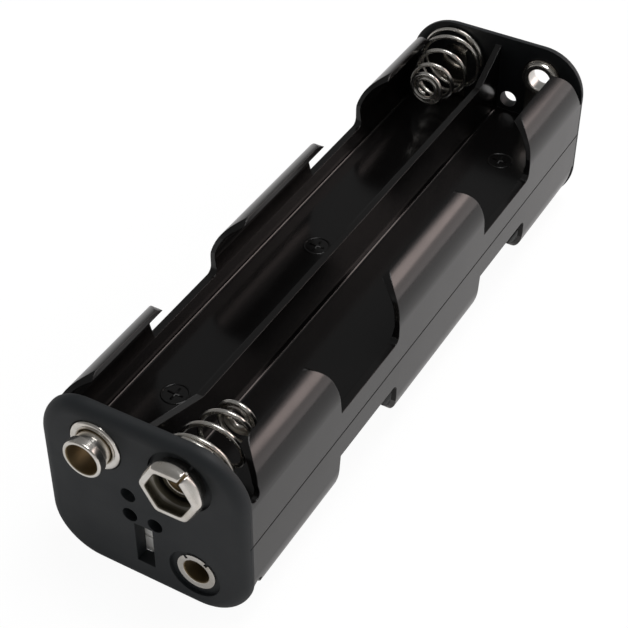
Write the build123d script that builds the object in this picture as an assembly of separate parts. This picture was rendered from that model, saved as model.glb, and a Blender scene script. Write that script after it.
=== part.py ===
# Battery holder for eight round cells, four above and four below a middle web, with snap terminals.
#
# X runs across, Y along the cells from the terminal end, Z up. Millimetres.
# The pieces are drawn with y = 0 on the outer face of the terminal plate and shifted at the end.
# Run in an empty folder. It writes one STEP file for each piece into parts/.
from build123d import *
from math import cos, pi, radians, sin
import os

os.makedirs("parts", exist_ok=True)

# Cells
cell_d = 14.5
cell_l = 50.5
cells_in_line = 2
side_gap = 0.05
floor_gap = 0.1
spring_room = 5.4

# Housing walls
wall = 0.8
wall_foot = 1.25
divider_t = 1.1
web_t = 1.5
plate_t = 2.1
height = 29.7
plate_corner_r = 7.85
plate_edge_r = 1.8
foot_r = 0.6

# Cell clips on the side walls, heights counted from the middle of the web
curl_start = 6.75
curl_r = 6.9
curl_end = 67.0
sill = 4.15
near_gap = 2.2
near_clip = 20.9
window = 16.8
middle_clip = 28.4
far_gap = 1.6
near_gap_floor = 7.6
far_gap_floor = 6.4
near_edge_lean = 2.0
far_edge_lean = 1.1
sill_r = 1.2
near_tip_r = 4.5
far_tip_r = 3.5
edge_over = 0.02
cutter_rise = 2.0

# Divider between the channels, heights counted from the middle of the web
divider_top = 8.65
ramp_top = 13.1
near_ramp = 12.7
far_ramp = 7.6

# Holes in the end plates
wire_hole_r = 1.17
wire_hole_x = 2.0
wire_hole_z = 1.9
tool_hole_r = 1.5
tool_hole_x = 2.65
tool_hole_z = 3.0
slot_w = 2.9
slot_h = 7.4
slot_drop = 6.95
slot_reach = 3.0

# Sheet metal and rivets
sheet = 0.25
strap_t = 0.3
barrel_r = 2.05
flange_r = 3.1
head_r = 3.25
head_rise = 0.45
recess_r = 4.0
recess_depth = 0.6
rivet_fit = 0.05
fold_gap = 0.1
head_rim = 0.3
bend_r = 0.15
far_rivet_out = 0.45
far_rivet_rise = 1.1
split_turns = (54, 125)
split_depth = 0.7
split_w = 0.5

# Snap terminals
snap_pitch = 12.95
snap_rise = 0.85
stud_r = 3.0
stud_reach = 3.1
stud_collar = 1.2
dish_r = 3.95
dish_rise = 0.8
dish_fit = 0.1
hex_flats = 8.5
hex_mouth = 6.1
hex_reach = 2.7
hex_deep = 1.95
hex_neck_r = 3.5
hex_turn = 1.0
hex_seam = 0.35
hex_wall = 0.45
hex_lip = 0.4
hex_corner_r = 0.6
hex_edge_r = 0.45
hex_recess_r = 4.8

# Springs
wire_d = 0.75
coil_room = 1.85
spring_rise = 0.4
spring_in = 0.25
taper = 0.8
coil_pitch = 3.6
coil_turns = 2.8
tip_turns = 1.95
closed_rise = 0.85
flat_turn = 0.7
wound = -1
steps_per_turn = 16
first_lug = 2.5 / steps_per_turn
near_arm = 48.0
far_arm = 124.0

# Straps that join a spring to the next cell's rivet
strap_w = 4.6
strap_pad_r = 3.5
crease_w = 0.5
crease_depth = 0.12
lug_w = 1.6
lug_fit = 0.04
pass_fit = 0.25

# Worked out from the values above
width = divider_t + 2 * (cell_d + 2 * side_gap + wall)
inner_l = cells_in_line * cell_l + spring_room
length = inner_l + 2 * plate_t
far_inner = length - plate_t
mid_z = height / 2
cell_x = divider_t / 2 + side_gap + cell_d / 2
cell_z = mid_z + web_t / 2 + floor_gap + cell_d / 2
low_z = height - cell_z
snap_x = snap_pitch / 2
snap_z = cell_z + snap_rise
far_rivet_x = cell_x + far_rivet_out
far_rivet_z = cell_z + far_rivet_rise
spring_z = cell_z + spring_rise
low_spring_z = height - spring_z
coil_r = cell_d / 2 - coil_room
clip_top = curl_start + curl_r * sin(radians(curl_end))
middle_y = (length - stud_reach) / 2


# Helpers
def along_y(face, start, reach):
    """Extrude a sketch drawn in X and Z from y = start, over reach."""
    return extrude(Plane.XZ.offset(-start) * face, reach, dir=(0, 1, 0))


def across_x(face, start, reach):
    """Extrude a sketch drawn in Y and Z from x = start, over reach."""
    return extrude(Plane.YZ.offset(start) * face, reach, dir=(1, 0, 0))


def both_layers(shape):
    """The shape and its mirror image below the middle of the web."""
    return shape + mirror(shape, Plane.XY.offset(mid_z))


def both_sides(shape):
    return shape + mirror(shape, Plane.YZ)


def rounded(face, *corners):
    """The face with some corners rounded, each given as a point and a radius."""
    for point, radius in corners:
        face = fillet(face.vertices().sort_by_distance((*point, 0))[0], radius)
    return face


def turned(section, x, z):
    """Revolve a section drawn as radius and y about the Y direction through x, z."""
    return Pos(x, 0, z) * revolve(section, Axis.Y)


# Housing
def end_plate():
    outline = Pos(0, mid_z) * RectangleRounded(width, height, plate_corner_r)
    plate = along_y(outline, 0, plate_t)
    return fillet(plate.faces().sort_by(Axis.Y)[0].edges(), plate_edge_r)


def clip_wall_section():
    """Right side wall of the upper layer, curled over the cell at its top."""
    x = width / 2 - wall / 2
    straight = Line((x, mid_z), (x, mid_z + curl_start))
    curl = CenterArc((width / 2 - curl_r, mid_z + curl_start), curl_r - wall / 2, 0, curl_end)
    foot = Polyline((x, mid_z), (width / 2 - wall_foot, mid_z), (width / 2 - wall_foot, mid_z + sill),
                    (width / 2 - wall, mid_z + curl_start), (x, mid_z + curl_start), close=True)
    return trace(straight + curl, wall) + make_face(foot)


def channel_section():
    """Cross-section of web, divider and side walls."""
    half = clip_wall_section()
    half += mirror(half, Plane.YZ)
    half += Pos(0, mid_z + divider_top / 2) * Rectangle(divider_t, divider_top)
    whole = half + mirror(half, Plane.XZ.offset(-mid_z))
    whole += Pos(0, mid_z) * Rectangle(width - wall, web_t)
    inside = width / 2 - wall / 2
    feet = [v for v in whole.vertices() if abs(abs(v.Y - mid_z) - web_t / 2) < 0.01 and abs(v.X) < inside]
    return fillet(feet, foot_r)


def window_face(clip_end, next_clip):
    """Opening between two clips, drawn in Y and Z, with round corners where it meets their tips."""
    low, top, over = mid_z + sill, mid_z + clip_top + edge_over, mid_z + clip_top + cutter_rise
    near_tip = next_clip + near_edge_lean
    far_tip = clip_end - far_edge_lean
    near_side = near_tip + 2 * near_tip_r
    far_side = far_tip - 2 * far_tip_r
    face = make_face(Polyline((clip_end, low), (next_clip, low), (next_clip, mid_z + curl_start + 1),
                              (near_tip, top), (near_side, top), (near_side, over),
                              (far_side, over), (far_side, top), (far_tip, top), close=True))
    return rounded(face, ((next_clip, low), sill_r), ((near_tip, top), near_tip_r),
                   ((far_tip, top), far_tip_r))


def near_gap_face():
    """Slit between the terminal plate and the first clip."""
    low, top, over = mid_z + near_gap_floor, mid_z + clip_top + edge_over, mid_z + clip_top + cutter_rise
    start = plate_t + near_gap
    tip = start + near_edge_lean
    near_side = tip + 2 * near_tip_r
    face = make_face(Polyline((plate_t, low), (start, low), (start, low + near_gap / 2 + 0.5), (tip, top),
                              (near_side, top), (near_side, over), (plate_t, over), close=True))
    turn = near_gap / 2 - 0.02
    return rounded(face, ((plate_t, low), turn), ((start, low), turn), ((tip, top), near_tip_r))


def far_gap_face():
    """Wedge between the last clip and the far plate."""
    low, top, over = mid_z + far_gap_floor, mid_z + clip_top + edge_over, mid_z + clip_top + cutter_rise
    end = far_inner - far_gap
    tip = end - far_edge_lean
    face = make_face(Polyline((far_inner, low), (far_inner - far_gap / 3, low), (end, low + 1.4 * far_gap),
                              (tip, top), (tip - 2 * far_tip_r, top), (tip - 2 * far_tip_r, over),
                              (far_inner, over), close=True))
    return rounded(face, ((tip, top), far_tip_r))


def clip_cuts():
    """Everything that is cut away between the clips, for both sides and both layers."""
    first = plate_t + near_gap
    second = first + near_clip + window
    third = second + middle_clip + window
    faces = [near_gap_face(), window_face(first + near_clip, second),
             window_face(second + middle_clip, third), far_gap_face()]
    reach = width / 2 - cell_x + 1
    cuts = Part() + [across_x(face, cell_x, reach) for face in faces]
    return both_layers(both_sides(cuts))


def divider_ramps():
    """Gussets that carry the divider up to each end plate."""
    near_end = far_inner - far_ramp
    near = Polyline((plate_t, mid_z + divider_top), (plate_t + near_ramp, mid_z + divider_top),
                    (plate_t, mid_z + ramp_top), close=True)
    far = Polyline((far_inner, mid_z + divider_top), (near_end, mid_z + divider_top),
                   (far_inner, mid_z + ramp_top), close=True)
    gussets = [across_x(make_face(outline), -divider_t / 2, divider_t) for outline in (near, far)]
    return both_layers(Part() + gussets)


def plate_holes():
    """Wire holes, slot, rivet bores and recesses in both end plates."""
    over = 1.0
    bore = Circle(barrel_r + sheet / 2 + rivet_fit)
    places = [(-wire_hole_x, wire_hole_z), (-wire_hole_x, -wire_hole_z), (wire_hole_x, -wire_hole_z)]
    near = [Pos(x, mid_z + z) * Circle(wire_hole_r) for x, z in places]
    near += [Pos(cell_x, low_z) * bore, Pos(snap_x, snap_z) * bore]
    near.append(Pos(-snap_x, snap_z) * Circle(stud_r - sheet - fold_gap + rivet_fit))
    far = [Pos(tool_hole_x, mid_z + tool_hole_z) * Circle(tool_hole_r)]
    far += [Pos(far_rivet_x, far_rivet_z) * bore, Pos(-cell_x, low_z) * bore]
    cuts = [along_y(face, -over, plate_t + over) for face in near]
    cuts += [along_y(face, far_inner, plate_t + over) for face in far]
    slot = Pos(0, mid_z - slot_drop) * Rectangle(slot_w, slot_h)
    cuts.append(along_y(slot, -over, plate_t + over + slot_reach))
    recesses = [(cell_x, low_z, recess_r), (snap_x, snap_z, hex_recess_r),
                (-snap_x, snap_z, dish_r + dish_fit)]
    cuts += [along_y(Pos(x, z) * Circle(r), -over, over + recess_depth) for x, z, r in recesses]
    cuts += [along_y(Pos(x, z) * Circle(recess_r), length - recess_depth, over + recess_depth)
             for x, z in ((far_rivet_x, far_rivet_z), (-cell_x, low_z))]
    strap_slot = Rectangle(strap_w + 2 * pass_fit, web_t + 2 * foot_r)
    cuts += [along_y(Pos(x, mid_z) * strap_slot, far_inner - strap_t - pass_fit, strap_t + pass_fit)
             for x in (-cell_x, (cell_x + far_rivet_x) / 2)]
    return Part() + cuts


def housing():
    body = along_y(channel_section(), plate_t - 0.5, inner_l + 1) - clip_cuts()
    body += divider_ramps()
    body += end_plate() + mirror(end_plate(), Plane.XZ.offset(-length / 2))
    return body - plate_holes()


# Rivets and snap terminals
def rivet(barrel, outer_flange, grip_out, grip_in, head=head_r):
    """Section of a hollow rivet as radius and y, for a plate at the near end.

    grip_out is the y that the outer flange bears on, grip_in the y that the inner head bears on."""
    y_out, y_in = grip_out - sheet / 2, grip_in + sheet / 2
    path = FilletPolyline((head, y_in), (head - head_rim, y_in), (head - 1.6 * head_rim, y_in + head_rise),
                          (barrel, y_in + head_rise), (barrel, y_out), (outer_flange - sheet / 2, y_out),
                          radius=bend_r)
    return trace(path, sheet)


def plain_rivet():
    return turned(rivet(barrel_r, flange_r, recess_depth, plate_t + strap_t), 0, 0)


def split_rivet():
    """Rivet whose outer flange split at two places as it was rolled over."""
    ring = plain_rivet()
    for turn in split_turns:
        notch = Pos(flange_r, recess_depth - sheet / 2, 0) * Box(2 * split_depth, 2 * sheet, split_w)
        ring -= Rot(0, -turn, 0) * notch
    return ring


def at_far_end(piece):
    return mirror(piece, Plane.XZ.offset(-length / 2))


def male_snap_eyelet():
    """Stud, barrel and inner contact head in one tube, with its front edge rolled back outside."""
    inner = stud_r - 1.5 * sheet - fold_gap
    y_in, front = plate_t + sheet / 2, -stud_reach + sheet / 2
    collar = stud_r - sheet / 2
    path = FilletPolyline((head_r, y_in), (head_r - head_rim, y_in), (inner + 0.02, y_in + head_rise),
                          (inner, front), (collar, front), (collar, front + stud_collar), radius=0.15)
    return turned(trace(path, sheet), -snap_x, snap_z)


def male_snap_washer():
    """Dished washer that stands round the stud."""
    inner = stud_r - sheet - fold_gap + rivet_fit
    rim = dish_r - sheet / 2
    seat = recess_depth - sheet / 2
    path = FilletPolyline((inner, seat), (rim - 0.5, seat), (rim - 0.1, seat - dish_rise),
                          (rim, seat - dish_rise + 0.35), radius=0.08)
    return turned(trace(path, sheet), -snap_x, snap_z)


def hexagon(flats):
    return RegularPolygon(flats / 2, 6, major_radius=False, rotation=hex_turn)


def female_snap():
    """Six-sided crown on a round neck, pressed from one strip, with an inturned lip and an open seam."""
    front, back = -hex_reach, hex_deep - hex_reach
    crown = along_y(fillet(hexagon(hex_flats).vertices(), hex_corner_r), front, hex_deep)
    crown = fillet(crown.faces().filter_by(Axis.Y).edges(), hex_edge_r)
    crown += along_y(Circle(hex_neck_r), back - hex_lip, recess_depth - back + hex_lip)
    crown -= along_y(hexagon(hex_flats - 2 * hex_wall), front + hex_lip, hex_deep - 2 * hex_lip)
    crown -= along_y(hexagon(hex_mouth), front - 1, 2)
    neck_depth = recess_depth - sheet - back + 2 * hex_lip
    crown -= along_y(Circle(hex_neck_r - hex_wall), back - 2 * hex_lip, neck_depth)
    crown -= along_y(Circle(barrel_r + sheet / 2 + rivet_fit), 0, 2)
    seam = Pos(hex_flats / 2, front, 0) * Box(hex_flats, 2 * hex_deep, hex_seam)
    return Pos(snap_x, 0, snap_z) * (crown - Rot(0, -(hex_turn + 60), 0) * seam)


def female_snap_eyelet():
    return turned(rivet(barrel_r, flange_r - 0.25, recess_depth - sheet, plate_t + strap_t), snap_x, snap_z)


# Springs and straps, drawn at the origin with the plate's inner face at y = 0
def spring(arm):
    """Conical spring: closed base turn, open turns, flat spiral tip. arm is the first lug's angle."""
    turns = 1 + coil_turns + tip_turns
    points = []
    for step in range(int(turns * steps_per_turn) + 1):
        t = step / steps_per_turn
        climb = min(max(t - flat_turn, 0) / (1 - flat_turn), 1)
        rise = closed_rise * climb + coil_pitch * min(max(t - 1, 0), coil_turns)
        radius = coil_r - taper * max(t - flat_turn, 0)
        angle = radians(arm + wound * 360 * (t - first_lug))
        bend = radius / cos(pi / steps_per_turn)
        points.append((bend * cos(angle), strap_t + wire_d / 2 + rise, bend * sin(angle)))
    path = Polyline(*points)
    section = Plane(origin=path @ 0, z_dir=path % 0) * Circle(wire_d / 2)
    return sweep(section, path, transition=Transition.RIGHT)


def lug():
    """Ear of a strap, folded over the first turn of a spring."""
    ring = wire_d / 2 + lug_fit + strap_t / 2
    foot = Line((0, strap_t / 2), (coil_r - ring, strap_t / 2))
    rise = Line((coil_r - ring, strap_t / 2), (coil_r - ring, strap_t + wire_d / 2))
    over = CenterArc((coil_r, strap_t + wire_d / 2), ring, 180, -115)
    return extrude(trace(foot + rise + over, strap_t), lug_w / 2, both=True)


def strap(spring_x, spring_z, rivet_x, rivet_z, arm, creased=False):
    """Strap from a spring's seat to a rivet, with two opposite lugs at the angle arm."""
    run_x, run_z = abs(rivet_x - spring_x), abs(rivet_z - spring_z)
    middle = Pos((spring_x + rivet_x) / 2, (spring_z + rivet_z) / 2)
    outline = middle * (Rectangle(run_x, strap_w) if run_x > run_z else Rectangle(strap_w, run_z))
    outline += [Pos(spring_x, spring_z) * Circle(strap_w / 2), Pos(rivet_x, rivet_z) * Circle(strap_pad_r)]
    plate = along_y(outline, 0, strap_t)
    for turn in (arm, arm + 180):
        plate += Pos(spring_x, 0, spring_z) * Rot(0, -turn, 0) * lug()
    plate -= along_y(Pos(rivet_x, rivet_z) * Circle(barrel_r + sheet / 2 + rivet_fit), -1, 3)
    if creased:
        crease = middle * Pos(0, strap_w / 6) * Rectangle(run_x - 2 * strap_pad_r, crease_w)
        plate -= along_y(crease, strap_t - crease_depth, 1)
        plate -= along_y(crease, -1, 1 + crease_depth)
    return plate


to_near = Pos(0, plate_t, 0)
to_far = Pos(0, far_inner, 0) * Rot(0, 0, 180)
near_spring_x = snap_x + spring_in

pieces = {
    "housing": housing(),
    "male_snap_eyelet": male_snap_eyelet(),
    "male_snap_washer": male_snap_washer(),
    "female_snap_socket": female_snap(),
    "female_snap_eyelet": female_snap_eyelet(),
    "lower_terminal_rivet": Pos(cell_x, 0, low_z) * split_rivet(),
    "upper_far_rivet": at_far_end(Pos(far_rivet_x, 0, far_rivet_z) * plain_rivet()),
    "lower_far_rivet": at_far_end(Pos(-cell_x, 0, low_z) * plain_rivet()),
    "upper_terminal_spring": to_near * Pos(near_spring_x, 0, spring_z) * spring(near_arm),
    "lower_terminal_spring": to_near * Pos(-cell_x, 0, low_spring_z) * spring(near_arm),
    "upper_far_spring": to_far * Pos(cell_x, 0, spring_z) * spring(far_arm),
    "lower_far_spring": to_far * Pos(-cell_x, 0, low_spring_z) * spring(far_arm),
    "snap_strap": to_near * strap(near_spring_x, spring_z, snap_x, snap_z, near_arm),
    "terminal_end_strap": to_near * strap(-cell_x, low_spring_z, cell_x, low_z, near_arm, creased=True),
    "far_left_strap": to_far * strap(cell_x, spring_z, cell_x, low_z, far_arm),
    "far_right_strap": to_far * strap(-cell_x, low_spring_z, -far_rivet_x, far_rivet_z, far_arm),
}

print("width", round(width, 2), "length", round(length, 2), "cell axis", cell_x, cell_z)
for name, piece in pieces.items():
    print(name, "solids", len(piece.solids()), "valid", piece.is_valid, "volume", round(piece.volume, 2))
    export_step(Pos(0, -middle_y, 0) * piece, f"parts/{name}.step")
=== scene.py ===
# %% [markdown]
# # An open battery holder in black plastic
#
# The holder is one black moulding with nickel-plated contacts. Its shape comes ready made from the packed
# model, so this lesson is mostly about finish: black plastic that mirrors the room where the mould was
# polished and scatters it where the mould was blasted, thin nickel that has begun to dull, and hard drawn
# spring wire. Only the springs, the snap socket, the washer behind the stud and the marks for the cells'
# poles get new meshes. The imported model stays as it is, and its edges are rounded in the materials.
#
# The frame is in metres. +Y runs along the cells from the snap terminals, +Z points up.

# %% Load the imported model
import bpy
import bmesh
from math import cos, pi, radians, sin
from mathutils import Matrix, Vector


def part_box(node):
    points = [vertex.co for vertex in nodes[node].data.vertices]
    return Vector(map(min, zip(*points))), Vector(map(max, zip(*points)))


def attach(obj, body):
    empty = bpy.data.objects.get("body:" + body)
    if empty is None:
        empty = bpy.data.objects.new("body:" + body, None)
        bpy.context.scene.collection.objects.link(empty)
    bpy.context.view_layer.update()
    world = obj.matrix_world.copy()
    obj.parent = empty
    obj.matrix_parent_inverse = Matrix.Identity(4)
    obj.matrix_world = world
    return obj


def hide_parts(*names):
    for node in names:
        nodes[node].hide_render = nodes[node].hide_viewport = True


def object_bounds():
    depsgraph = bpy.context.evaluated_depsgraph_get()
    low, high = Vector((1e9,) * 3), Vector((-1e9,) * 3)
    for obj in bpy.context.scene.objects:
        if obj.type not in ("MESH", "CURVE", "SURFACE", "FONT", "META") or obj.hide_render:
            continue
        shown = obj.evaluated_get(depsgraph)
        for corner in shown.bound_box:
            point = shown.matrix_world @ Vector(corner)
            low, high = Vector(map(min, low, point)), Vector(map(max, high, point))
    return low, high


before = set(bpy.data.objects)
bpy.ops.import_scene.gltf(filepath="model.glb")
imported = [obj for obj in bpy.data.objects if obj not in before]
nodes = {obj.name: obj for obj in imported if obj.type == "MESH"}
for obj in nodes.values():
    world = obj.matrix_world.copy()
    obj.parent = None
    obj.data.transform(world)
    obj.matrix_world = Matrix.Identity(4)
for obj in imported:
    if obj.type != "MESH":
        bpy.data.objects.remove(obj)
cad_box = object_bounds()
mm = 0.001
print("pieces:", len(nodes), "box in mm:", [round((b - a) / mm, 1) for a, b in zip(*cad_box)])

# %% [markdown]
# ## Camera
#
# The photograph was taken from above the right front corner with a short telephoto lens. The camera is
# given by where it stands and by the two angles that it looks along, because a point to look at would hide
# the small roll of the picture.

# %% Camera
azimuth, elevation, roll = radians(29.77), radians(41.26), radians(0.23)
camera_data = bpy.data.cameras.new("camera")
camera = bpy.data.objects.new("camera", camera_data)
bpy.context.scene.collection.objects.link(camera)
bpy.context.scene.camera = camera
back = Vector((sin(azimuth) * cos(elevation), -cos(azimuth) * cos(elevation), sin(elevation)))
level = (-back).to_track_quat("-Z", "Y").to_matrix()
camera.rotation_mode = "QUATERNION"
camera.rotation_quaternion = (Matrix.Rotation(roll, 3, back) @ level).to_quaternion()
camera.location = Vector((88.1, -162.4, 170.4)) * mm
camera_data.sensor_width = 36
camera_data.lens = 90.2
camera_data.clip_start, camera_data.clip_end = 0.01, 20
print("camera at", tuple(round(v, 4) for v in camera.location), "lens", camera_data.lens)

# %% [markdown]
# ## Colours
#
# Colours are written as sRGB hex values, as a colour picker shows them, and shaders work in linear light.
# One function turns the first into the second.


# %% Hex to linear
def colour(text):
    """Linear RGBA of an sRGB hex value."""
    channels = [int(text[i:i + 2], 16) / 255 for i in (1, 3, 5)]
    linear = [c / 12.92 if c <= 0.04045 else ((c + 0.055) / 1.055) ** 2.4 for c in channels]
    return (*linear, 1.0)


print("mid grey on the screen is", round(colour("#808080")[0], 3), "in linear light")

# %% [markdown]
# ## Nodes and objects
#
# A material starts with an empty tree. One function adds a shader node and fills each of its sockets with a
# value or with the output of another node, so a material reads from top to bottom. A finish then goes into
# every slot of an object, and a mesh that was built vertex by vertex becomes an object in one step.


# %% Helpers for materials and meshes
def new_material(name):
    """A material whose node tree is still empty."""
    material = bpy.data.materials.new(name)
    material.use_nodes = True
    material.node_tree.nodes.clear()
    return material


def add(material, kind, sockets=None, **settings):
    """Add a shader node. sockets gives a value or another node's output for each of its inputs."""
    node = material.node_tree.nodes.new(kind)
    for name, value in settings.items():
        setattr(node, name, value)
    for socket, value in (sockets or {}).items():
        if isinstance(value, bpy.types.NodeSocket):
            material.node_tree.links.new(value, node.inputs[socket])
        else:
            node.inputs[socket].default_value = value
    return node


def dress(thing, material):
    """Give an object its finish, in every slot that it has."""
    slots = thing.data.materials
    if not len(slots):
        slots.append(material)
    for i in range(len(slots)):
        slots[i] = material


def as_object(name, bm):
    """Turn a finished bmesh into an object of the scene, with its normals pointing out."""
    bmesh.ops.recalc_face_normals(bm, faces=bm.faces)
    mesh = bpy.data.meshes.new(name)
    bm.to_mesh(mesh)
    bm.free()
    thing = bpy.data.objects.new(name, mesh)
    bpy.context.scene.collection.objects.link(thing)
    return thing


def report_fit(piece, node_name):
    """Print by how many mm a new piece differs from the box of the node that it stands for."""
    low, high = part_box(node_name)
    new = [v.co for v in piece.data.vertices]
    print(node_name, [round((min(v[i] for v in new) - low[i]) / mm, 3) for i in range(3)],
          [round((max(v[i] for v in new) - high[i]) / mm, 3) for i in range(3)])


print("helpers ready")

# %% [markdown]
# ## Black plastic: polished and blasted faces
#
# The moulding is black polystyrene, a stiff and brittle plastic. Its pigment leaves hardly a colour to see,
# so the eye reads it by its gloss. The channels and clips come off polished steel and mirror the lamps in
# soft streaks. The two end plates come off a blasted face and look satin and a little greyer. Two materials
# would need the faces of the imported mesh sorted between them. One material with a mask along Y does without
# that, because the plates are simply the first and the last 2.1 mm of the moulding.

# %% Mask of the satin plates
plate_t = 2.1 * mm
blend = 0.1 * mm
moulding_low, moulding_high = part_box("housing")
near_face, far_face = moulding_low.y, moulding_high.y
plastic = new_material("moulded black polystyrene")
place = add(plastic, "ShaderNodeTexCoord").outputs["Object"]
axes = add(plastic, "ShaderNodeSeparateXYZ", {"Vector": place}).outputs
near_satin = add(plastic, "ShaderNodeMapRange", {
    "Value": axes["Y"], "From Min": near_face + plate_t - blend, "From Max": near_face + plate_t + blend,
    "To Min": 1, "To Max": 0}).outputs["Result"]
far_satin = add(plastic, "ShaderNodeMapRange", {
    "Value": axes["Y"], "From Min": far_face - plate_t - blend, "From Max": far_face - plate_t + blend,
    "To Min": 0, "To Max": 1}).outputs["Result"]
satin = add(plastic, "ShaderNodeMath", {0: near_satin, 1: far_satin}, operation="MAXIMUM").outputs[0]
print("satin plates", round(plate_t / mm, 1), "mm thick, faces at y", round(near_face, 4), round(far_face, 4))

# %% [markdown]
# ## Black plastic: parting line
#
# Halfway up the outer walls runs the faint line where the two halves of the mould met. It is a hair wide,
# too small to carve, so a second mask draws it: near to the middle height and on the outer walls only. The
# mask presses the surface in and takes its gloss.

# %% Mask of the parting line
middle_z = (moulding_low.z + moulding_high.z) / 2
off_line = add(plastic, "ShaderNodeMath", {0: axes["Z"], 1: middle_z}, operation="SUBTRACT").outputs[0]
off_line = add(plastic, "ShaderNodeMath", {0: off_line}, operation="ABSOLUTE").outputs[0]
seam = add(plastic, "ShaderNodeMapRange", {
    "Value": off_line, "From Min": 0.06 * mm, "From Max": 0.22 * mm,
    "To Min": 1, "To Max": 0}).outputs["Result"]
outward = add(plastic, "ShaderNodeMath", {0: axes["X"]}, operation="ABSOLUTE").outputs[0]
outside = add(plastic, "ShaderNodeMath", {
    0: outward, 1: moulding_high.x - 0.05 * mm}, operation="GREATER_THAN").outputs[0]
seam = add(plastic, "ShaderNodeMath", {0: seam, 1: outside}, operation="MULTIPLY").outputs[0]
print("parting line at z", round(middle_z / mm, 2), "mm")

# %% [markdown]
# ## Black plastic: gloss, tone and grain
#
# Polystyrene has an IOR of 1.5 to 1.6. A little less, 1.47, matches the soft streaks on the clips. Flow in
# the mould leaves clouds of more and less gloss about 9 mm wide, and cooling leaves a slight orange peel of
# 3 mm. The grain of a blasted plate is finer than a tenth of a millimetre, which wouldn't show, so it is
# drawn at 0.35 mm. The Bevel node rounds the look of every moulded edge by a sixth of a millimetre, as the
# polish of the mould does.

# %% Black polystyrene
cloud_size, peel_size, grain_size = 9 * mm, 3 * mm, 0.35 * mm
cloud = add(plastic, "ShaderNodeTexNoise", {
    "Vector": place, "Scale": 1 / cloud_size, "Detail": 4}).outputs["Fac"]
peel = add(plastic, "ShaderNodeTexNoise", {
    "Vector": place, "Scale": 1 / peel_size, "Detail": 1}).outputs["Fac"]
grain = add(plastic, "ShaderNodeTexNoise", {
    "Vector": place, "Scale": 1 / grain_size, "Detail": 2}).outputs["Fac"]
gloss_rough = add(plastic, "ShaderNodeMapRange", {
    "Value": cloud, "From Min": 0.3, "From Max": 0.7, "To Min": 0.15, "To Max": 0.22}).outputs["Result"]
satin_rough = add(plastic, "ShaderNodeMapRange", {
    "Value": cloud, "From Min": 0.3, "From Max": 0.7, "To Min": 0.56, "To Max": 0.66}).outputs["Result"]
rough = add(plastic, "ShaderNodeMix", {0: satin, 2: gloss_rough, 3: satin_rough}).outputs[0]
rough = add(plastic, "ShaderNodeMix", {0: seam, 2: rough, 3: 1.0}).outputs[0]
tone = add(plastic, "ShaderNodeMix", {
    0: satin, 6: colour("#0b0a0a"), 7: colour("#1c2023")}, data_type="RGBA").outputs[2]

edge = add(plastic, "ShaderNodeBevel", {"Radius": 0.16 * mm}, samples=6).outputs["Normal"]
edge = add(plastic, "ShaderNodeBump", {
    "Height": seam, "Strength": 1, "Distance": 0.05 * mm, "Normal": edge}, invert=True).outputs["Normal"]
relief = add(plastic, "ShaderNodeBump", {
    "Height": peel, "Strength": 0.3, "Distance": 0.02 * mm, "Normal": edge}).outputs["Normal"]
grain_depth = add(plastic, "ShaderNodeMath", {0: grain, 1: satin}, operation="MULTIPLY").outputs[0]
relief = add(plastic, "ShaderNodeBump", {
    "Height": grain_depth, "Strength": 0.5, "Distance": 0.02 * mm, "Normal": relief}).outputs["Normal"]
shader = add(plastic, "ShaderNodeBsdfPrincipled", {
    "Base Color": tone, "Roughness": rough, "IOR": 1.47, "Normal": relief})
add(plastic, "ShaderNodeOutputMaterial", {"Surface": shader.outputs["BSDF"]})
dress(nodes["housing"], plastic)
print("plastic on the housing with", len(plastic.node_tree.nodes), "nodes")
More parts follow.
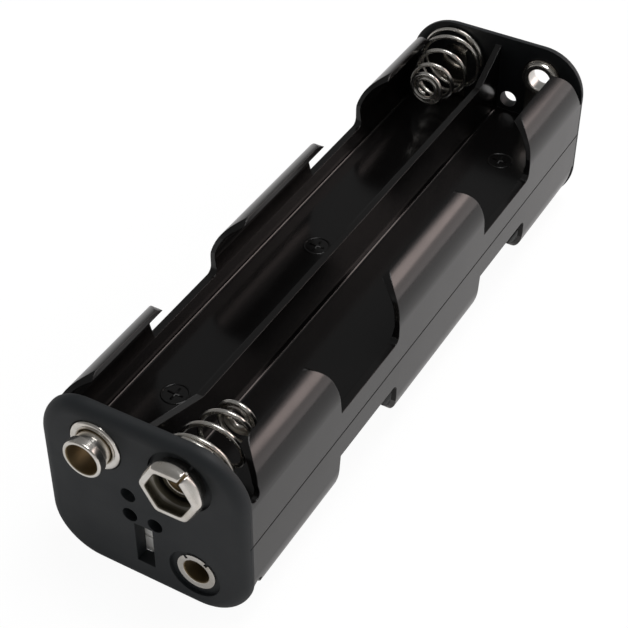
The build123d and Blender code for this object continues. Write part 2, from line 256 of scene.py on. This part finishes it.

# %% [markdown]
# ## Nickel plate
#
# The rivets and snap parts are drawn from brass with a thin coat of bright nickel. Nickel is a little
# yellower and darker than chrome. Handling dulls it in patches, so its roughness and its tone change from
# place to place, and fine rub marks are drawn 0.3 mm wide, as coarse as they need to show. The plating bath
# hardly reaches into the bores, so the brass shows through there, brown and dull. A wall faces into a bore
# where its normal points at the axis of its piece, and that is the mask: it needs no faces picked by hand,
# only the axis, which is the middle of the piece's box. The bores of the far end have the light of the room
# behind them, so their walls get a painted light instead: a near white tone and a smoother finish.


# %% Nickel plate
def nickel_plate(name, axis_x, axis_z, bore_brass_and_backlight_tone="#8a7a5c", bore_rough=0.6):
    """Nickel over brass for one round piece with its axis along Y, and the look of its bore."""
    patch_size, rub_size = 2.5 * mm, 0.3 * mm
    material = new_material(name)
    coords = add(material, "ShaderNodeTexCoord").outputs
    place = coords["Object"]
    patches = add(material, "ShaderNodeTexNoise", {
        "Vector": place, "Scale": 1 / patch_size, "Detail": 5}).outputs["Fac"]
    rub = add(material, "ShaderNodeTexNoise", {
        "Vector": place, "Scale": 1 / rub_size, "Detail": 2}).outputs["Fac"]
    dull = add(material, "ShaderNodeMapRange", {
        "Value": patches, "From Min": 0.35, "From Max": 0.7,
        "To Min": 0.16, "To Max": 0.28}).outputs["Result"]
    worn = add(material, "ShaderNodeMapRange", {
        "Value": patches, "From Min": 0.4, "From Max": 0.75}).outputs["Result"]
    tone = add(material, "ShaderNodeMix", {
        0: worn, 6: colour("#e6e2dc"), 7: colour("#cfc9be")}, data_type="RGBA").outputs[2]

    spoke = add(material, "ShaderNodeVectorMath", {
        0: place, 1: (axis_x, 0, axis_z)}, operation="SUBTRACT").outputs[0]
    spoke = add(material, "ShaderNodeVectorMath", {0: spoke, 1: (1, 0, 1)}, operation="MULTIPLY").outputs[0]
    spoke = add(material, "ShaderNodeVectorMath", {0: spoke}, operation="NORMALIZE").outputs[0]
    facing = add(material, "ShaderNodeVectorMath", {
        0: spoke, 1: coords["Normal"]}, operation="DOT_PRODUCT").outputs["Value"]
    # Walls that face the axis take the bore tone: brass at the near end, a painted light at the far end.
    bore = add(material, "ShaderNodeMapRange", {
        "Value": facing, "From Min": -0.3, "From Max": -0.75}).outputs["Result"]
    tone = add(material, "ShaderNodeMix", {
        0: bore, 6: tone, 7: colour(bore_brass_and_backlight_tone)}, data_type="RGBA").outputs[2]
    dull = add(material, "ShaderNodeMix", {0: bore, 2: dull, 3: bore_rough}).outputs[0]

    edge = add(material, "ShaderNodeBevel", {"Radius": 0.1 * mm}, samples=6).outputs["Normal"]
    relief = add(material, "ShaderNodeBump", {
        "Height": rub, "Strength": 0.07, "Distance": 0.01 * mm, "Normal": edge}).outputs["Normal"]
    shader = add(material, "ShaderNodeBsdfPrincipled", {
        "Base Color": tone, "Metallic": 1, "Roughness": dull, "Normal": relief})
    add(material, "ShaderNodeOutputMaterial", {"Surface": shader.outputs["BSDF"]})
    return material


# %% Nickel on the rivets
plated = [name for name in nodes if name.endswith(("eyelet", "rivet"))]
for name in plated:
    axis = (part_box(name)[0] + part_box(name)[1]) / 2
    # The far bores are painted near white: a painted light for the room that shows through them.
    if "far" in name:
        finish = nickel_plate("nickel on " + name, axis.x, axis.z, bore_brass_and_backlight_tone="#e4e2de", bore_rough=0.3)
    else:
        finish = nickel_plate("nickel on " + name, axis.x, axis.z)
    dress(nodes[name], finish)
print("nickel on", plated)

# %% [markdown]
# ## Sweeping a wall
#
# The socket is a six-sided crown that snaps over the stud of a cap. It is pressed from thin sheet, so its
# back is nearly round and only its mouth has real corners, and the strip is left open at one corner. Walls
# that change from round to six-sided are hard to carve, but easy to sweep: one closed outline of the wall
# goes round the axis, and at each angle every point of it moves out by a law. Each point of the outline has
# three numbers: how far it stands out of the plate's face, its half width, both in mm, and its share of the
# six-sided form.


# %% Sweep a wall round its axis
def swept(name, wall, start, end, steps, law, closed):
    """Sweep the closed outline wall round Y, from angle start to end, about the origin, in mm."""
    bm = bmesh.new()
    rows = []
    for i in range(steps + (0 if closed else 1)):
        angle = radians(start + (end - start) * i / steps)
        row = []
        for out, half_width, six in wall:
            r = law(angle, half_width, six)
            row.append(bm.verts.new((r * cos(angle), -out, r * sin(angle))))
        rows.append(row)
    pairs = list(zip(rows, rows[1:])) + ([(rows[-1], rows[0])] if closed else [])
    for a, b in pairs:
        for k in range(len(wall)):
            n = (k + 1) % len(wall)
            bm.faces.new((a[k], b[k], b[n], a[n])).smooth = True
    if not closed:
        bm.faces.new(rows[0])
        bm.faces.new(list(reversed(rows[-1])))
    return as_object(name, bm)


def seat(piece, node_name, axis_x, axis_z):
    """Put a swept piece on the terminal plate in place of its node, and print how the boxes differ."""
    piece.data.transform(Matrix.Translation((axis_x, near_face, axis_z)) @ Matrix.Scale(mm, 4))
    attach(piece, "root")
    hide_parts(node_name)
    report_fit(piece, node_name)


snap_x, snap_z = 6.475 * mm, 23.8 * mm
print("snap parts on axes at x", round(-snap_x / mm, 3), "and", round(snap_x / mm, 3), "mm")

# %% [markdown]
# ## Snap socket
#
# The law of the socket blends a circle with a hexagon. The corners of the hexagon come from a power mean of
# its six flats, which rounds them: a higher power makes them sharper. The open seam is the few degrees that
# the sweep leaves out at one corner.

# %% Snap socket
crown_wall = [
    (-0.58, 3.46, 0), (0.3, 3.48, 0), (0.5, 3.62, 0), (0.62, 3.86, 0.05), (0.78, 4.06, 0.15),
    (1.0, 4.2, 0.3), (1.3, 4.26, 0.5), (1.7, 4.25, 0.7), (2.1, 4.17, 0.85), (2.4, 4.03, 0.95),
    (2.58, 3.86, 1), (2.67, 3.66, 1), (2.69, 3.42, 1), (2.66, 3.2, 1), (2.56, 3.07, 1),
    (2.4, 3.04, 1), (2.27, 3.15, 1), (2.2, 3.4, 0.95), (2.0, 3.68, 0.85), (1.6, 3.8, 0.65),
    (1.2, 3.78, 0.45), (0.95, 3.62, 0.3), (0.8, 3.35, 0.15), (0.6, 3.12, 0), (-0.58, 3.08, 0)]
first_flat, corner_power, round_share = 31, 22, 1.05
seam_corner, seam_half = 61, 2.4


def crown_radius(angle, half_width, six):
    """Distance from the axis to the wall at an angle in radians."""
    flats = [radians(first_flat + 60 * k) for k in range(6)]
    powers = sum(max(0, cos(angle - flat)) ** corner_power for flat in flats)
    hexagon = 1 / powers ** (1 / corner_power)
    return half_width * ((1 - six) * round_share + six * hexagon)


socket = swept("female_snap_crown", crown_wall, start=seam_corner + seam_half,
               end=seam_corner + 360 - seam_half, steps=132, law=crown_radius, closed=False)
seat(socket, "female_snap_socket", snap_x, snap_z)
dress(socket, nickel_plate("nickel on female_snap_crown", snap_x, snap_z, bore_brass_and_backlight_tone="#6f6a5c"))

# %% [markdown]
# ## Stud washer
#
# The washer round the stud is a shallow dome of the same nickel. It faces the floor in front, so it looks
# white, except where it mirrors the stud. The same sweep makes it, with a plain circle as its law.

# %% Stud washer
dome_wall = [
    (-0.56, 2.72, 0), (0.1, 2.72, 0), (0.24, 2.85, 0), (0.33, 3.05, 0), (0.38, 3.3, 0), (0.36, 3.55, 0),
    (0.29, 3.75, 0), (0.17, 3.88, 0), (0.02, 3.94, 0), (-0.2, 3.94, 0), (-0.2, 3.82, 0), (0.0, 3.8, 0),
    (0.12, 3.68, 0), (0.2, 3.5, 0), (0.18, 3.2, 0), (-0.3, 3.0, 0), (-0.56, 3.0, 0)]
washer = swept("male_snap_dome", dome_wall, start=0, end=360, steps=72,
               law=lambda angle, radius, six: radius, closed=True)
seat(washer, "male_snap_washer", -snap_x, snap_z)
dress(washer, nickel_plate("nickel on male_snap_dome", -snap_x, snap_z))

# %% [markdown]
# ## Strip for the straps
#
# The straps are cut from rolled strip. Rolling leaves fine lines along it, which are drawn 0.1 mm apart so
# that they show. Deep in the holder the bright strip mirrors black plastic, so most of it looks black. The
# strap behind the slot in the terminal plate is the one that everybody sees, and it looks white there. Its
# copy of the strip is a painted light: painted near white and matt, so that it shows white in the slot
# instead of mirroring the slot's black walls.


# %% Rolled strip
def rolled_strip(name, base, smooth, coarse):
    """Rolled strip with its lines along X, and the two ends of its roughness."""
    line_length, line_gap = 4 * mm, 0.1 * mm
    material = new_material(name)
    place = add(material, "ShaderNodeTexCoord").outputs["Object"]
    stretched = add(material, "ShaderNodeMapping", {
        "Vector": place, "Scale": (1 / line_length, 1 / line_gap, 1 / line_gap)}).outputs["Vector"]
    lines = add(material, "ShaderNodeTexNoise", {
        "Vector": stretched, "Scale": 1, "Detail": 3}).outputs["Fac"]
    dull = add(material, "ShaderNodeMapRange", {
        "Value": lines, "From Min": 0.3, "From Max": 0.7,
        "To Min": smooth, "To Max": coarse}).outputs["Result"]
    relief = add(material, "ShaderNodeBump", {
        "Height": lines, "Strength": 0.2, "Distance": 0.005 * mm}).outputs["Normal"]
    shader = add(material, "ShaderNodeBsdfPrincipled", {
        "Base Color": colour(base), "Metallic": 1, "Roughness": dull, "Normal": relief})
    add(material, "ShaderNodeOutputMaterial", {"Surface": shader.outputs["BSDF"]})
    return material


bright_strip = rolled_strip("bright rolled nickel strip", "#a9a59e", smooth=0.08, coarse=0.16)
# This copy of the strip is painted near white and matt: a painted light for the strap seen in the slot.
slot_strap_painted_white = rolled_strip("strip painted white for the slot", "#faf9f6", smooth=0.55, coarse=0.7)
straps = [name for name in nodes if name.endswith("strap")]
for name in straps:
    dress(nodes[name], slot_strap_painted_white if name == "terminal_end_strap" else bright_strip)
print("strip on", straps)

# %% [markdown]
# ## Spring wire
#
# The springs are nickel-plated music wire. Drawing through a die leaves it smooth along its length, so its
# finish only changes slowly, over about 3 mm, from bright to a little worn.

# %% Spring wire
wear_size = 3 * mm
wire = new_material("nickel plated music wire")
place = add(wire, "ShaderNodeTexCoord").outputs["Object"]
drawn = add(wire, "ShaderNodeTexNoise", {
    "Vector": place, "Scale": 1 / wear_size, "Detail": 3}).outputs["Fac"]
dull = add(wire, "ShaderNodeMapRange", {
    "Value": drawn, "From Min": 0.3, "From Max": 0.7, "To Min": 0.22, "To Max": 0.3}).outputs["Result"]
worn = add(wire, "ShaderNodeMapRange", {"Value": drawn, "From Min": 0.45, "From Max": 0.75}).outputs["Result"]
tone = add(wire, "ShaderNodeMix", {
    0: worn, 6: colour("#dad7d1"), 7: colour("#c0bab0")}, data_type="RGBA").outputs[2]
shader = add(wire, "ShaderNodeBsdfPrincipled", {"Base Color": tone, "Metallic": 1, "Roughness": dull})
add(wire, "ShaderNodeOutputMaterial", {"Surface": shader.outputs["BSDF"]})
print("wire with", len(wire.node_tree.nodes), "nodes")

# %% [markdown]
# ## Centre line of a spring
#
# Each spring is wound as a cone: one closed turn on the strap, open turns that grow narrower, and a flat
# spiral that touches the cell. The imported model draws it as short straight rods. A screw modifier could
# wind it too, but only with one pitch and one taper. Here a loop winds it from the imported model's own
# values, in 72 steps to a turn, and easing the rises takes the kinks out where one kind of turn meets the
# next.

# %% Centre line
wire_d, strap_t, coil_r, taper = 0.75, 0.3, 5.4, 0.8
coil_pitch, coil_turns, tip_turns, closed_rise, flat_turn = 3.6, 2.8, 1.95, 0.85, 0.7
first_lug = 2.5 / 16


def coil_line(steps=72):
    """Centre line of a spring in mm, seated at y = 0, with its first lug at angle 0."""
    points = []
    for i in range(round((1 + coil_turns + tip_turns) * steps) + 1):
        t = i / steps
        climb = min(max(t - flat_turn, 0) / (1 - flat_turn), 1)
        rise = closed_rise * climb + coil_pitch * min(max(t - 1, 0), coil_turns)
        radius = coil_r - taper * max(t - flat_turn, 0)
        angle = -2 * pi * (t - first_lug)
        points.append(Vector((radius * cos(angle), strap_t + wire_d / 2 + rise, radius * sin(angle))))
    for _ in range(40):
        eased = [(a + b * 2 + c) / 4 for a, b, c in zip(points, points[1:], points[2:])]
        for p, q in zip(points[1:], eased):
            p.y = q.y
    return points


print("a spring stands", round(coil_line()[-1].y + wire_d / 2, 2), "mm tall")

# %% [markdown]
# ## Round wire
#
# A curve with a round bevel would make the wire too, but its ends would be flat and sharp. Here a ring of
# vertices is carried along the centre line without twisting, and the two cut ends are closed by a cap with
# a rounded rim.

# %% Round wire
ring_sides = 14
cap = [(0, 1), (0.06, 0.95), (0.14, 0.8)]  # steps past the end and widths there, as shares of the radius


def tube(name, points, radius):
    """A round tube along the points, closed at both ends by a cap with a rounded rim."""
    bm = bmesh.new()
    rings = []
    turns = [2 * pi * k / ring_sides for k in range(ring_sides)]
    side = (points[1] - points[0]).orthogonal().normalized()
    last = len(points) - 1
    for i, centre in enumerate(points):
        ahead = (points[min(i + 1, last)] - points[max(i - 1, 0)]).normalized()
        side = (side - ahead * side.dot(ahead)).normalized()
        up = ahead.cross(side)
        steps = cap[:1]
        if i == 0:
            steps = [(-forward, width) for forward, width in reversed(cap)]
        if i == last:
            steps = cap
        for forward, width in steps:
            middle, r = centre + ahead * forward * radius, width * radius
            rings.append([bm.verts.new(middle + side * r * cos(turn) + up * r * sin(turn)) for turn in turns])
    for low, high in zip(rings, rings[1:]):
        for k in range(ring_sides):
            n = (k + 1) % ring_sides
            bm.faces.new((low[k], low[n], high[n], high[k])).smooth = True
    bm.faces.new(list(reversed(rings[0])))
    bm.faces.new(rings[-1])
    return as_object(name, bm)


print("wire", wire_d, "mm thick with", ring_sides, "sides")

# %% [markdown]
# ## The four springs
#
# In each layer one spring stands on the inner face of each plate. Three of them stand in line with their
# cells, 0.4 mm further from the web than the middle of the cell. The fourth is held by the strap under the
# snap socket's eyelet, so it stands close to that eyelet. The arm is the angle of the first lug, by which a
# strap grips the wire.


# %% Wind the springs
def wind(node_name, axis_x, axis_z, arm, far_end=False):
    """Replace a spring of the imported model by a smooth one. arm is the angle of its first lug."""
    floor_y = far_face - plate_t if far_end else near_face + plate_t
    turned = Matrix.Rotation(pi if far_end else 0, 4, "Z") @ Matrix.Rotation(-radians(arm), 4, "Y")
    where = Matrix.Translation((axis_x * mm, floor_y, axis_z * mm)) @ turned @ Matrix.Scale(mm, 4)
    spring = tube(node_name + "_wire", [where @ p for p in coil_line()], wire_d / 2 * mm)
    dress(spring, wire)
    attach(spring, "root")
    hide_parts(node_name)
    report_fit(spring, node_name)


channel_x, beside_snap_x = 7.85, 6.725
upper_z, lower_z = 23.35, 6.35
near_arm, far_arm = 48, 124
wind("upper_terminal_spring", beside_snap_x, upper_z, near_arm)
wind("lower_terminal_spring", -channel_x, lower_z, near_arm)
wind("upper_far_spring", -channel_x, upper_z, far_arm, far_end=True)
wind("lower_far_spring", channel_x, lower_z, far_arm, far_end=True)

# %% [markdown]
# ## Polarity marks
#
# The mould has a plus sign in a ring engraved where the button end of a cell goes, so the channel floor
# shows it as a low ridge, 0.36 mm wide and a tenth of a millimetre high. Three of them can be made out in a
# layer. A bump in the material could draw them too, but would stay flat from the side. Each mark is one
# mesh: a ring and two bars with a rounded top, sunk a little into the floor that carries them.

# %% A low ridge
ridge_half, ridge_high = 0.18, 0.1
ridge_profile = [(-1, -0.2), (-0.85, 0.55), (-0.4, 0.92), (0, 1), (0.4, 0.92), (0.85, 0.55), (1, -0.2)]


def ridge(bm, points, closed):
    """Add a low round-topped ridge along points on the XY plane, in mm."""
    rows = []
    last = len(points) - 1
    for i, p in enumerate(points):
        before = points[i - 1] if i or closed else p
        after = points[(i + 1) % len(points)] if i < last or closed else p
        ahead = (after - before).normalized()
        side = Vector((-ahead.y, ahead.x, 0))
        rows.append([bm.verts.new(p + side * a * ridge_half + Vector((0, 0, b * ridge_high)))
                     for a, b in ridge_profile])
    for a, b in list(zip(rows, rows[1:])) + ([(rows[-1], rows[0])] if closed else []):
        for k in range(len(ridge_profile) - 1):
            bm.faces.new((a[k], b[k], b[k + 1], a[k + 1])).smooth = True
        bm.faces.new((a[-1], b[-1], b[0], a[0]))
    if not closed:
        bm.faces.new(rows[0])
        bm.faces.new(list(reversed(rows[-1])))


print("ridges", 2 * ridge_half, "mm wide and", ridge_high, "mm high")

# %% Put the marks on the channel floors
ring_r, ring_steps, bar = 2.0, 48, 1.25
web_half = 0.75
web_middle = (cad_box[0].z + cad_box[1].z) / 2 / mm
button_ends = {"left_near": (-7.9, 19.9), "left_middle": (-7.2, 58.8), "right_far": (8.0, 94.0)}
for layer, side in (("upper", 1), ("lower", -1)):
    for where, (x, y) in button_ends.items():
        turns = [2 * pi * k / ring_steps for k in range(ring_steps)]
        bm = bmesh.new()
        ridge(bm, [Vector((ring_r * cos(turn), ring_r * sin(turn), 0)) for turn in turns], closed=True)
        ridge(bm, [Vector((bar * a, 0, 0)) for a in (-1, 0, 1)], closed=False)
        ridge(bm, [Vector((0, bar * a, 0)) for a in (-1, 0, 1)], closed=False)
        plus = as_object("plus_mark_" + layer + "_" + where, bm)
        spot = Vector((x * side * mm, near_face + y * mm, (web_middle + side * web_half) * mm))
        over = Matrix.Rotation(0 if side > 0 else pi, 4, "Y")
        plus.data.transform(Matrix.Translation(spot) @ over @ Matrix.Scale(mm, 4))
        dress(plus, plastic)
        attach(plus, "root")
print("marks on the channel floors at z", round(web_middle + web_half, 2), "and",
      round(web_middle - web_half, 2))

# %% [markdown]
# ## Floor
#
# The photograph has a pure white ground and hardly a shadow, as cut-out product pictures do. More light
# would make the ground white, but the holder too pale. So the floor is a plane of white paper that shines a
# little by itself, to the camera and in reflections only: it stays white with a faint shadow, and it lights
# the object no more than paper would.

# %% Floor
paper_gap = 0.02 * mm
bpy.ops.mesh.primitive_plane_add(size=4, location=(0, 0, cad_box[0].z - paper_gap))
floor = bpy.context.object
floor.name = "floor"
paper = new_material("white paper")
rays = add(paper, "ShaderNodeLightPath").outputs
seen = add(paper, "ShaderNodeMath", {
    0: rays["Is Camera Ray"], 1: rays["Is Transmission Ray"]}, operation="MAXIMUM").outputs[0]
seen = add(paper, "ShaderNodeMath", {0: seen, 1: 0.9}, operation="MULTIPLY").outputs[0]
mirrored = add(paper, "ShaderNodeMath", {0: rays["Is Glossy Ray"], 1: 0.2}, operation="MULTIPLY").outputs[0]
share = add(paper, "ShaderNodeMath", {0: seen, 1: mirrored}, operation="MAXIMUM").outputs[0]
matt = add(paper, "ShaderNodeBsdfDiffuse", {"Color": colour("#f6f6f6")})
glow = add(paper, "ShaderNodeEmission", {"Strength": 1.05})
both = add(paper, "ShaderNodeMixShader", {0: share, 1: matt.outputs[0], 2: glow.outputs[0]})
add(paper, "ShaderNodeOutputMaterial", {"Surface": both.outputs[0]})
dress(floor, paper)
print("floor at z", round(floor.location.z / mm, 2), "mm")

# %% [markdown]
# ## Sky
#
# Black plastic is lit by what it mirrors. The steep side walls are grey with the white floor, which rises
# on the right as a white sweep, so the sky is bright near the horizon there and dim elsewhere. The camera
# itself sees it white, as the background of the photograph.

# %% Sky
sky_level = 0.19
world = bpy.data.worlds.new("studio")
bpy.context.scene.world = world
world.use_nodes = True
world.node_tree.nodes.clear()
sky = add(world, "ShaderNodeTexCoord").outputs["Generated"]
toward = add(world, "ShaderNodeSeparateXYZ", {"Vector": sky}).outputs
low_glow = add(world, "ShaderNodeMapRange", {
    "Value": toward["Z"], "From Min": 0.02, "From Max": 0.45, "To Min": 0.45, "To Max": 0}).outputs["Result"]
right_glow = add(world, "ShaderNodeMapRange", {
    "Value": toward["X"], "From Min": -0.5, "From Max": 0.3, "To Min": 0.25, "To Max": 1}).outputs["Result"]
brightness = add(world, "ShaderNodeMath", {
    0: low_glow, 1: right_glow, 2: sky_level}, operation="MULTIPLY_ADD").outputs[0]
seen = add(world, "ShaderNodeLightPath").outputs["Is Camera Ray"]
brightness = add(world, "ShaderNodeMix", {0: seen, 2: brightness, 3: 1.0}).outputs[0]
dome = add(world, "ShaderNodeBackground", {"Color": colour("#ffffff"), "Strength": brightness})
add(world, "ShaderNodeOutputWorld", {"Surface": dome.outputs["Background"]})
print("sky level", sky_level)

# %% [markdown]
# ## Lamps
#
# The curled clips show a soft box behind the right as a long streak, and a larger and weaker one lets the
# streak fade out on both sides. The main lamp hangs overhead, where the channels don't mirror it, so that
# they stay black. Each lamp is given by its radiance, because that is the brightness at which it is seen
# in the plastic. Its power in watts follows from its size.


# %% Lamps
def softbox(name, azimuth, elevation, distance, size, radiance, tint="#ffffff"):
    """A rectangular lamp that faces the object, from azimuth degrees off +Y towards +X."""
    a, e = radians(azimuth), radians(elevation)
    data = bpy.data.lights.new(name, "AREA")
    data.shape, data.size, data.size_y = "RECTANGLE", size[0], size[1]
    data.energy = radiance * pi * size[0] * size[1]
    data.color = colour(tint)[:3]
    lamp = bpy.data.objects.new(name, data)
    bpy.context.scene.collection.objects.link(lamp)
    lamp.location = Vector((sin(a) * cos(e), cos(a) * cos(e), sin(e))) * distance
    lamp.rotation_mode = "QUATERNION"
    lamp.rotation_quaternion = (-lamp.location).to_track_quat("-Z", "Y")
    print(name, "at", [round(v, 2) for v in lamp.location], round(data.energy, 2), "W")


softbox("overhead", azimuth=39, elevation=78, distance=1.0, size=(0.42, 0.42), radiance=7.4)
softbox("back_right_core", azimuth=42, elevation=30, distance=1.2, size=(0.4, 0.34), radiance=3.4,
        tint="#ffe9e2")
softbox("back_right_halo", azimuth=48, elevation=23, distance=1.3, size=(0.9, 0.95), radiance=1.3,
        tint="#fff1ee")
bpy.context.scene.view_settings.view_transform = "Standard"
